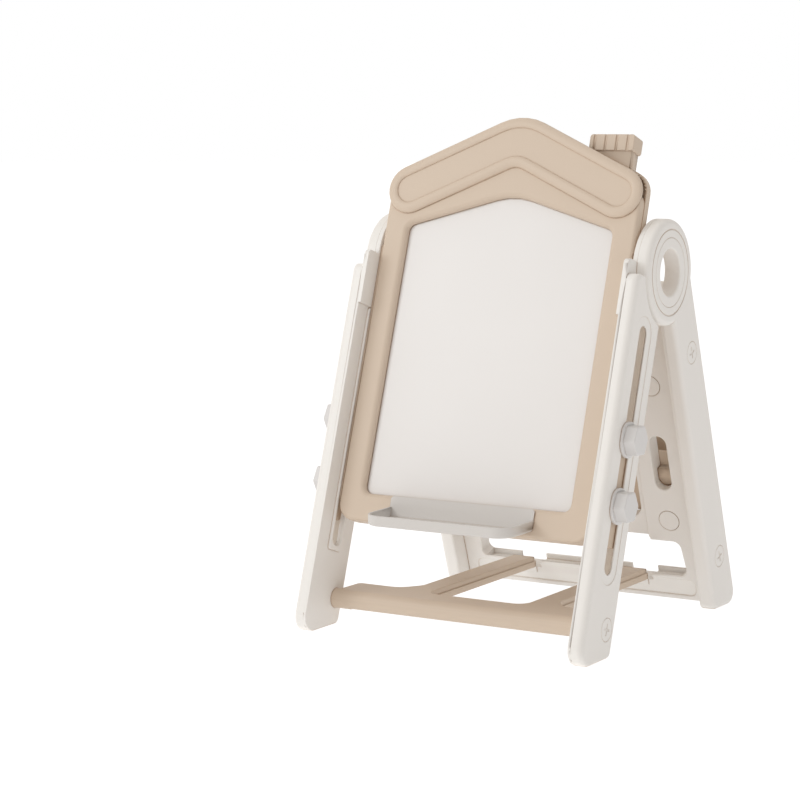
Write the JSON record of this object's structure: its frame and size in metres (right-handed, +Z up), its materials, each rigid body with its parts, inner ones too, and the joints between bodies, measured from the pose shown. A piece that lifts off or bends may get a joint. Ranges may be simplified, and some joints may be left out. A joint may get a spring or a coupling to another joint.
{
  "type": "kids easel",
  "caption": "House-shaped drawing board with a pen tray, clamped by side knobs in the slots of a folding A-frame with a hooked brace.",
  "frame": {"origin": "on the floor, under the centre of the bounding box", "axes": "+Z up, the drawing board faces -Y, +X to the right as seen from the front"},
  "size_m": [0.566, 0.5852, 0.8273],
  "materials": {
    "white_plastic": "satin moulded plastic",
    "beige_plastic": "satin moulded plastic",
    "writing_face": "smooth dry-wipe film",
    "tray_plastic": "satin moulded plastic",
    "grey_plastic": "satin moulded plastic",
    "screw_steel": "zinc plated",
    "insert_brass": "turned"
  },
  "bodies": {
    "front_frame": {"front_leg_outer_left": "white_plastic", "front_leg_outer_right": "white_plastic", "front_leg_inner_left": "white_plastic", "front_leg_inner_right": "white_plastic", "guide_strip_left": "white_plastic", "guide_strip_right": "white_plastic", "brace_caps": "white_plastic"},
    "rear_frame": {"rear_leg_outer_left": "white_plastic", "rear_leg_outer_right": "white_plastic", "rear_leg_inner_left": "white_plastic", "rear_leg_inner_right": "white_plastic", "rear_panel": "white_plastic", "pivot_bush_left": "white_plastic", "pivot_bush_right": "white_plastic", "pivot_ring_left": "white_plastic", "pivot_ring_right": "white_plastic", "rear_leg_caps": "white_plastic", "panel_caps": "white_plastic", "storage_bin": "beige_plastic"},
    "board": {"board_frame": "beige_plastic", "whiteboard": "writing_face", "board_back": "beige_plastic", "roof_trim": "beige_plastic", "chimney": "beige_plastic", "tray": "tray_plastic", "slider_left": "beige_plastic", "slider_right": "beige_plastic", "slider_inserts": "insert_brass", "board_screws": "screw_steel"},
    "brace": {"brace": "beige_plastic"},
    "knob_upper_left": {"knob_upper_left": "grey_plastic", "stud_upper_left": "screw_steel"},
    "knob_upper_right": {"knob_upper_right": "grey_plastic", "stud_upper_right": "screw_steel"},
    "knob_lower_left": {"knob_lower_left": "grey_plastic", "stud_lower_left": "screw_steel"},
    "knob_lower_right": {"knob_lower_right": "grey_plastic", "stud_lower_right": "screw_steel"}
  },
  "joints": [
    {"name": "fold", "type": "hinge", "parent": "front_frame", "child": "rear_frame", "pos_m": [0, 0.0124, 0.582], "axis": [-1, 0, 0], "range_deg": [0, 37.5]},
    {"name": "board_slide", "type": "slide", "parent": "front_frame", "child": "board", "axis": [0, 0.314, 0.9494], "range_m": [-0.088, 0.16]},
    {"name": "brace_lift", "type": "hinge", "parent": "front_frame", "child": "brace", "pos_m": [0, -0.20064, 0.04261], "axis": [1, 0, 0], "range_deg": [0, 2.5]},
    {"name": "knob_upper_left_turn", "type": "hinge", "parent": "board", "child": "knob_upper_left", "pos_m": [-0.262, -0.1388, 0.33182], "axis": [-1, 0, 0], "range_deg": [0, 360]},
    {"name": "knob_upper_right_turn", "type": "hinge", "parent": "board", "child": "knob_upper_right", "pos_m": [0.262, -0.1388, 0.33182], "axis": [1, 0, 0], "range_deg": [0, 360]},
    {"name": "knob_lower_left_turn", "type": "hinge", "parent": "board", "child": "knob_lower_left", "pos_m": [-0.262, -0.17158, 0.2327], "axis": [-1, 0, 0], "range_deg": [0, 360]},
    {"name": "knob_lower_right_turn", "type": "hinge", "parent": "board", "child": "knob_lower_right", "pos_m": [0.262, -0.17158, 0.2327], "axis": [1, 0, 0], "range_deg": [0, 360]}
  ]
}
